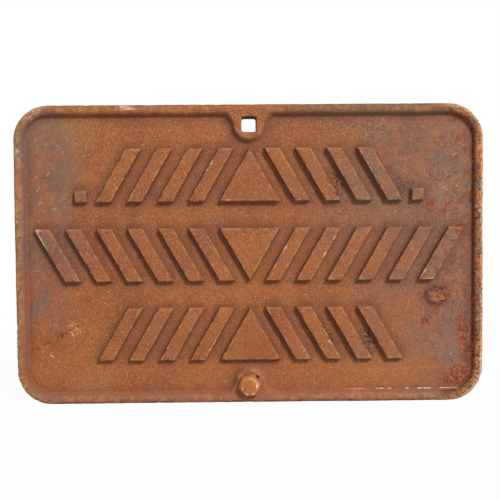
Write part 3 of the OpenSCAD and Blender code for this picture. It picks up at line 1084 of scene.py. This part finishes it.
def thread_solid(sizes, start, tip):
    """A ridge that winds round the bolt, drawn as a small triangle and turned into a screw."""
    bm = bmesh.new()
    crest = sizes.bolt_d / 2
    sunk, half_ridge = 0.0006, 0.44
    root = crest - sizes.thread_depth - sunk
    half = sizes.thread_pitch * half_ridge
    end = tip - half
    corners = ((root, start - half), (crest, start), (root, start + half))
    face = bm.faces.new([bm.verts.new((x, 0, z)) for x, z in corners])
    turns = (end - start) / sizes.thread_pitch
    steps = round(turns * THREAD_STEPS)
    bmesh.ops.spin(
        bm,
        geom=[face] + face.edges[:] + face.verts[:],
        cent=(0, 0, 0),
        axis=(0, 0, 1),
        dvec=(0, 0, (end - start) / steps),
        angle=-turns * 2 * math.pi,
        steps=steps,
    )
    bmesh.ops.holes_fill(bm, edges=[e for e in bm.edges if e.is_boundary], sides=0)
    for vert in bm.verts:
        room = crest - sizes.end_chamfer + tip - vert.co.z
        vert.co.xy *= min(1, room / vert.co.xy.length)
    return on_bolt_axis(bm)


def fused_mesh(name, base, changes, voxel):
    """One closed mesh of even facets from a solid and what is added to, cut from or shared with it."""
    obj = new_bmesh_object(name, base)
    helpers = [obj]
    for bm, operation in changes:
        helper = new_bmesh_object(f"{name}_{len(helpers)}", bm)
        helpers.append(helper)
        boolean = obj.modifiers.new(operation, "BOOLEAN")
        boolean.operation = operation
        boolean.solver = "EXACT"
        boolean.object = helper
    remesh = obj.modifiers.new("even_facets", "REMESH")
    remesh.mode = "VOXEL"
    remesh.voxel_size = voxel
    mesh = evaluated_mesh(obj)
    for helper in helpers:
        bpy.data.objects.remove(helper)
    return mesh


def evaluated_mesh(obj):
    """A mesh with an object's modifiers applied."""
    bpy.context.view_layer.update()
    return bpy.data.meshes.new_from_object(obj.evaluated_get(bpy.context.evaluated_depsgraph_get()))


def relaxed(points, edges, rounds):
    """Points moved half of the way to the mean of their neighbours, so many times."""
    total = len(points)
    degree = np.bincount(edges.ravel(), minlength=total)
    a, b = edges.T
    for _ in range(rounds):
        mean = [np.bincount(a, p[b], total) + np.bincount(b, p[a], total) for p in points.T]
        points = (points + np.stack(mean, 1) / degree[:, None]) / 2
    return points


def lumps(points, size, octaves):
    """Noise over points, from about -1 to 1, with features of a size in metres."""
    return np.array([noise.fractal(p, 1.0, 2.0, octaves) for p in (points / size).tolist()])


def mesh_array(collection, key, width, kind):
    """A mesh's own values as rows of an array."""
    values = np.empty(len(collection) * width, kind)
    collection.foreach_get(key, values)
    return values.reshape(-1, width)


def put_attribute(mesh, name, values):
    """Keeps a value from 0 to 1 on each vertex, for the materials."""
    layer = mesh.attributes.new(name, "FLOAT", "POINT")
    layer.data.foreach_set("value", np.clip(values, 0, 1).astype(np.float32))


def weathered_mesh(mesh, box, rounding, reach, skin, chip, triangles, swell=None, soften=None):
    """Rounds, roughens and chips a mesh within a box, and keeps where its edges and corners are."""
    edges = mesh_array(mesh.edges, "vertices", 2, np.int32)
    points = relaxed(mesh_array(mesh.vertices, "co", 3, np.float32).astype(float), edges, rounding)
    if soften:
        points += soften(points)[:, None] * (relaxed(points, edges, LUG_ROUNDS) - points)
    mesh.vertices.foreach_set("co", points.ravel())
    mesh.update()
    normals = mesh_array(mesh.vertex_normals, "vector", 3, np.float32).astype(float)
    standing = ((points - relaxed(points, edges, EDGE_ROUNDS)) * normals).sum(1) / reach
    put_attribute(mesh, "edge", standing)
    # The concavity is laid by the materials as painted shade with dark rust in the corners.
    put_attribute(mesh, "cavity", -standing)
    # Spread wider, the concavity is laid as grime with painted shade beside the raised blocks.
    spread = relaxed(np.clip(-standing, 0, 1)[:, None], edges, GRIME_AND_SHADE_ROUNDS)[:, 0]
    put_attribute(mesh, "grime_and_shade", GRIME_AND_SHADE_GAIN * spread)
    move = sum(depth * (lumps(points, size, octaves) - SKIN_MIDDLE) for depth, size, octaves in skin)
    chip_depth, chip_size = chip
    broken = np.clip(lumps(points, chip_size, 3) * CHIP_GAIN - CHIP_START, 0, 1)
    move -= chip_depth * broken * np.clip(standing * CHIP_EDGE_GAIN, 0, 1)
    if swell:
        move += swell(points)
    points = points + normals * move[:, None]
    mesh.vertices.foreach_set("co", points.ravel())
    mesh.update()
    obj = bpy.data.objects.new(mesh.name, mesh)
    bpy.context.scene.collection.objects.link(obj)
    thin = obj.modifiers.new("fewer_facets", "DECIMATE")
    thin.ratio = min(1, triangles / (2 * len(mesh.polygons)))
    thinned = evaluated_mesh(obj)
    bpy.data.objects.remove(obj)
    bpy.data.meshes.remove(mesh)
    points = np.clip(mesh_array(thinned.vertices, "co", 3, np.float32), *box)
    thinned.vertices.foreach_set("co", points.ravel())
    thinned.shade_smooth()
    return thinned


def soft_lugs(points):
    """How much more the casting is rounded: fully on the lugs' outer edges, and nowhere else."""
    x, y, z = points.T
    hole_z = -PLATE_LOW.z - HOLE_INSET
    near, far, rim = 0.0125, 0.034, 0.012
    near_fade, far_fade = 0.003, 0.006
    away = np.hypot(x, np.abs(z) - hole_z)
    beside_hole = np.clip((away - near) / near_fade, 0, 1) * np.clip((far - away) / far_fade, 0, 1)
    below_rim = np.clip((hole_z + rim - np.abs(z)) / far_fade, 0, 1)
    return np.where(y < FRONT_Y, beside_hole * below_rim, 0)


def casting_swell(points):
    """How far rust lifts or eats the front: a blister, a crusty lump and a rough right rim."""
    x, y, z = points.T
    ring_x, ring_z, ring_oval, ring_r = 0.204, -0.0465, 1.25, 0.0085
    ring_rise, ring_width = 0.0013, 0.35
    lump_x, lump_z, lump_r, lump_rise = -0.192, -0.081, 0.004, 0.0007
    eaten_depth, eaten_level, rim_start, rim_fade = 0.0005, 1.6, 0.238, 0.006
    crust_size, crust_share = 0.004, 0.8
    crust = 1 + crust_share * lumps(points, crust_size, 2)
    ring = np.hypot((x - ring_x) / ring_oval, z - ring_z) / ring_r
    lift = ring_rise * np.exp(-(((ring - 1) / ring_width) ** 2)) * crust
    lump = np.hypot(x - lump_x, z - lump_z) / lump_r
    lift += lump_rise * np.exp(-(lump**2)) * crust
    eaten = eaten_depth * np.clip((x - rim_start) / rim_fade, 0, 1) * (crust - eaten_level)
    return np.where(y < FRONT_Y, lift + eaten, 0)


def finished_piece(name, mesh, material, body, node):
    """Puts a mesh in the scene in place of its CAD node."""
    mesh.name = name
    mesh.materials.clear()
    mesh.materials.append(material)
    obj = bpy.data.objects.new(name, mesh)
    bpy.context.scene.collection.objects.link(obj)
    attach(obj, body)
    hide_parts(node)


class SIGN_OT_casting(bpy.types.Operator):
    """Builds the casting: plate, rim, lugs and raised blocks, with its rusted skin"""

    bl_idname = "sign.casting"
    bl_label = "Casting"

    def execute(self, context):
        sizes = context.scene.sign_sizes
        changes = ((raised_solids(sizes), "UNION"), (hole_cutters(sizes), "DIFFERENCE"))
        mesh = fused_mesh("casting", plate_solid(sizes), changes, voxel=0.001)
        mesh = weathered_mesh(
            mesh,
            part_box("sign_plate"),
            rounding=2,
            reach=0.0008,
            skin=((0.00025, 0.06, 2), (0.00012, 0.008, 3)),
            chip=(0.0007, 0.009),
            triangles=190000,
            swell=casting_swell,
            soften=soft_lugs,
        )
        material = casting_material(context.scene.sign_colours, sizes)
        finished_piece("iron_casting", mesh, material, "casting", "sign_plate")
        return {"FINISHED"}


class SIGN_OT_bolt(bpy.types.Operator):
    """Builds the bolt with its worn hexagonal head and its thread"""

    bl_idname = "sign.bolt"
    bl_label = "Bolt"

    def execute(self, context):
        sizes = context.scene.sign_sizes
        radius = sizes.bolt_d / 2
        front = BOLT_LOW.y
        seat = front + sizes.head_h
        end = BOLT_HIGH.y
        core = radius - sizes.thread_depth
        run_in = 0.001
        section = (
            (0, front),
            (sizes.dome_top_d / 2, front),
            (sizes.hex_face_d / 2, front + sizes.dome_h),
            (chamfer_radius(sizes, sizes.head_h - sizes.dome_h), seat),
            (0, seat),
        )
        changes = (
            (turned_solid(section), "INTERSECT"),
            (cone_solid(seat - ROOT_DEPTH, sizes.thread_start, radius, radius), "UNION"),
            (cone_solid(0, end, core, radius - sizes.end_chamfer), "UNION"),
            (thread_solid(sizes, sizes.thread_start - run_in, end), "UNION"),
        )
        head = hexagon_solid(sizes, front, seat, sizes.head_turn)
        mesh = fused_mesh("bolt", head, changes, voxel=0.00025)
        mesh = weathered_mesh(
            mesh,
            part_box("hex_bolt"),
            rounding=2,
            reach=0.00035,
            skin=((0.00005, 0.006, 2), (0.00003, 0.0016, 3)),
            chip=(0.0002, 0.003),
            triangles=120000,
        )
        colours = context.scene.sign_colours
        material = hardware_material("rusted_bolt", "bolt_rust", colours, 0.8, head_marks)
        finished_piece("fixing_bolt", mesh, material, "bolt", "hex_bolt")
        return {"FINISHED"}


class SIGN_OT_washer(bpy.types.Operator):
    """Builds the washer behind the plate"""

    bl_idname = "sign.washer"
    bl_label = "Washer"

    def execute(self, context):
        sizes = context.scene.sign_sizes
        front, back = WASHER_LOW.y, WASHER_HIGH.y
        outer = (WASHER_HIGH.x - WASHER_LOW.x) / 2
        bore = sizes.washer_bore / 2
        changes = ((cone_solid(front - CUT_PAST, back + CUT_PAST, bore, bore), "DIFFERENCE"),)
        mesh = fused_mesh("washer", cone_solid(front, back, outer, outer), changes, voxel=0.0003)
        mesh = weathered_mesh(
            mesh,
            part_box("plate_washer"),
            rounding=3,
            reach=0.0004,
            skin=((0.00008, 0.01, 2), (0.00005, 0.002, 3)),
            chip=(0.0003, 0.004),
            triangles=40000,
        )
        colours = context.scene.sign_colours
        material = hardware_material("rusted_washer", "rust_deep", colours, 0.5)
        finished_piece("back_washer", mesh, material, "nut", "plate_washer")
        return {"FINISHED"}


class SIGN_OT_nut(bpy.types.Operator):
    """Builds the nut on the bolt's thread"""

    bl_idname = "sign.nut"
    bl_label = "Nut"

    def execute(self, context):
        sizes = context.scene.sign_sizes
        front, back = NUT_LOW.y, NUT_HIGH.y
        bore = sizes.nut_bore / 2
        face_r = sizes.hex_face_d / 2
        middle = (front + back) / 2
        sink, past = 0.0009, 0.0001
        section = (
            (0, front),
            (face_r, front),
            (chamfer_radius(sizes, middle - front), middle),
            (face_r, back),
            (0, back),
        )
        changes = (
            (turned_solid(section), "INTERSECT"),
            (cone_solid(front - CUT_PAST, back + CUT_PAST, bore, bore), "DIFFERENCE"),
            (cone_solid(back - sink, back + past, bore, bore + sink + past), "DIFFERENCE"),
        )
        mesh = fused_mesh("nut", hexagon_solid(sizes, front, back, 0), changes, voxel=0.0003)
        mesh = weathered_mesh(
            mesh,
            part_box("hex_nut"),
            rounding=3,
            reach=0.0004,
            skin=((0.00006, 0.006, 2), (0.00005, 0.0016, 3)),
            chip=(0.0003, 0.003),
            triangles=40000,
        )
        colours = context.scene.sign_colours
        material = hardware_material("rusted_nut", "rust", colours, 0.7)
        finished_piece("hexagon_nut", mesh, material, "nut", "hex_nut")
        return {"FINISHED"}


def camera_object():
    """The camera, at the photograph's viewing angle."""
    camera = bpy.data.cameras.new("camera")
    camera.sensor_width = 36
    camera.lens = 49.68
    target = Vector((0.0003, 0, 0.0042))
    distance = 0.7613
    azimuth = math.radians(-0.55)
    elevation = math.radians(1.95)
    roll = math.radians(-0.46)
    level = math.cos(elevation)
    away = Vector((math.sin(azimuth) * level, -math.cos(azimuth) * level, math.sin(elevation)))
    obj = bpy.data.objects.new("camera", camera)
    turn = away.to_track_quat("Z", "Y").to_matrix().to_4x4()
    place = Matrix.Translation(target + distance * away)
    obj.matrix_world = place @ turn @ Matrix.Rotation(roll, 4, "Z")
    return obj


def area_lamp(name, place, size, power):
    """A soft square lamp that looks at the sign's middle."""
    lamp = bpy.data.lights.new(name, "AREA")
    lamp.energy = power
    lamp.size = size
    obj = bpy.data.objects.new(name, lamp)
    obj.location = place
    obj.rotation_euler = (-obj.location).to_track_quat("-Z", "Y").to_euler()
    return obj


def seen_directly(g):
    """1 where a ray comes from the camera, a reflection or glass, and 0 for light on the object."""
    rays = g.node("ShaderNodeLightPath").outputs
    either = g.math("MAXIMUM", rays["Is Camera Ray"], rays["Is Glossy Ray"])
    return g.math("MAXIMUM", either, rays["Is Transmission Ray"])


def white_world():
    """A white backdrop that lights the object softly, more from above than from below."""
    world = bpy.data.worlds.new("studio")
    g = empty_graph(world)
    up = g.axes(g.node("ShaderNodeTexCoord").outputs["Generated"])["Z"]
    strength = g.ramp(up, -0.5, 0.9, 0.04, 0.20)
    soft = g.node("ShaderNodeBackground", {"Color": WHITE, "Strength": strength}).outputs[0]
    white = g.node("ShaderNodeBackground", {"Color": WHITE, "Strength": 1.0}).outputs[0]
    both = g.node("ShaderNodeMixShader", {0: seen_directly(g), 1: soft, 2: white})
    g.node("ShaderNodeOutputWorld", {"Surface": both.outputs[0]})
    return world


def floor_object(colours):
    """A pale floor under the sign that shows as white and keeps the sign's shadow."""
    bm = bmesh.new()
    bmesh.ops.create_grid(bm, x_segments=1, y_segments=1, size=4)
    bmesh.ops.translate(bm, verts=bm.verts, vec=(0, 0, PLATE_LOW.z))
    floor = new_bmesh_object("floor", bm)
    material = bpy.data.materials.new("pale_floor")
    g = empty_graph(material)
    pale = g.node("ShaderNodeBsdfDiffuse", {"Color": (*colours.floor, 1)}).outputs[0]
    white = g.node("ShaderNodeEmission", {"Color": WHITE, "Strength": 1.0}).outputs[0]
    far = g.vector("LENGTH", g.node("ShaderNodeTexCoord").outputs["Object"])
    share = g.math("MULTIPLY", seen_directly(g), g.ramp(far, 0.25, 0.9, 0.965, 1.0))
    both = g.node("ShaderNodeMixShader", {0: share, 1: pale, 2: white})
    g.node("ShaderNodeOutputMaterial", {"Surface": both.outputs[0]})
    floor.data.materials.append(material)
    return floor


class SIGN_OT_stage(bpy.types.Operator):
    """Builds the floor, the lamps, the white backdrop and the camera"""

    bl_idname = "sign.stage"
    bl_label = "Stage"

    def execute(self, context):
        scene = context.scene
        floor_object(scene.sign_colours)
        lamps = (
            area_lamp("key_lamp", (1.53, -2.70, 2.16), size=0.72, power=117),
            area_lamp("fill_lamp", (0.2, -2.0, 0.5), size=1.0, power=4),
        )
        camera = camera_object()
        for obj in (*lamps, camera):
            scene.collection.objects.link(obj)
        scene.camera = camera
        scene.world = white_world()
        scene.view_settings.view_transform = "Standard"
        return {"FINISHED"}


class SIGN_PT_panel(bpy.types.Panel):
    """Lists the sign's builders and its sizes and colours"""

    bl_idname = "SIGN_PT_panel"
    bl_label = "Warning Sign"
    bl_space_type = "VIEW_3D"
    bl_region_type = "UI"
    bl_category = "Sign"

    def draw(self, context):
        for builder in BUILDERS:
            self.layout.operator(builder.bl_idname)
        for values in (context.scene.sign_sizes, context.scene.sign_colours):
            for key in values.__annotations__:
                self.layout.prop(values, key)


BUILDERS = (SIGN_OT_casting, SIGN_OT_bolt, SIGN_OT_washer, SIGN_OT_nut, SIGN_OT_stage)
CLASSES = (SignSizes, SignColours) + BUILDERS + (SIGN_PT_panel,)


def register():
    """Registers the classes, and puts the sizes and the colours on the scene."""
    for cls in CLASSES:
        bpy.utils.register_class(cls)
    bpy.types.Scene.sign_sizes = bpy.props.PointerProperty(type=SignSizes)
    bpy.types.Scene.sign_colours = bpy.props.PointerProperty(type=SignColours)


def unregister():
    """Takes away what register has put in place."""
    del bpy.types.Scene.sign_colours
    del bpy.types.Scene.sign_sizes
    for cls in reversed(CLASSES):
        bpy.utils.unregister_class(cls)


def main():
    register()
    bpy.ops.sign.casting()
    bpy.ops.sign.bolt()
    bpy.ops.sign.washer()
    bpy.ops.sign.nut()
    bpy.ops.sign.stage()


if __name__ == "__main__":
    main()
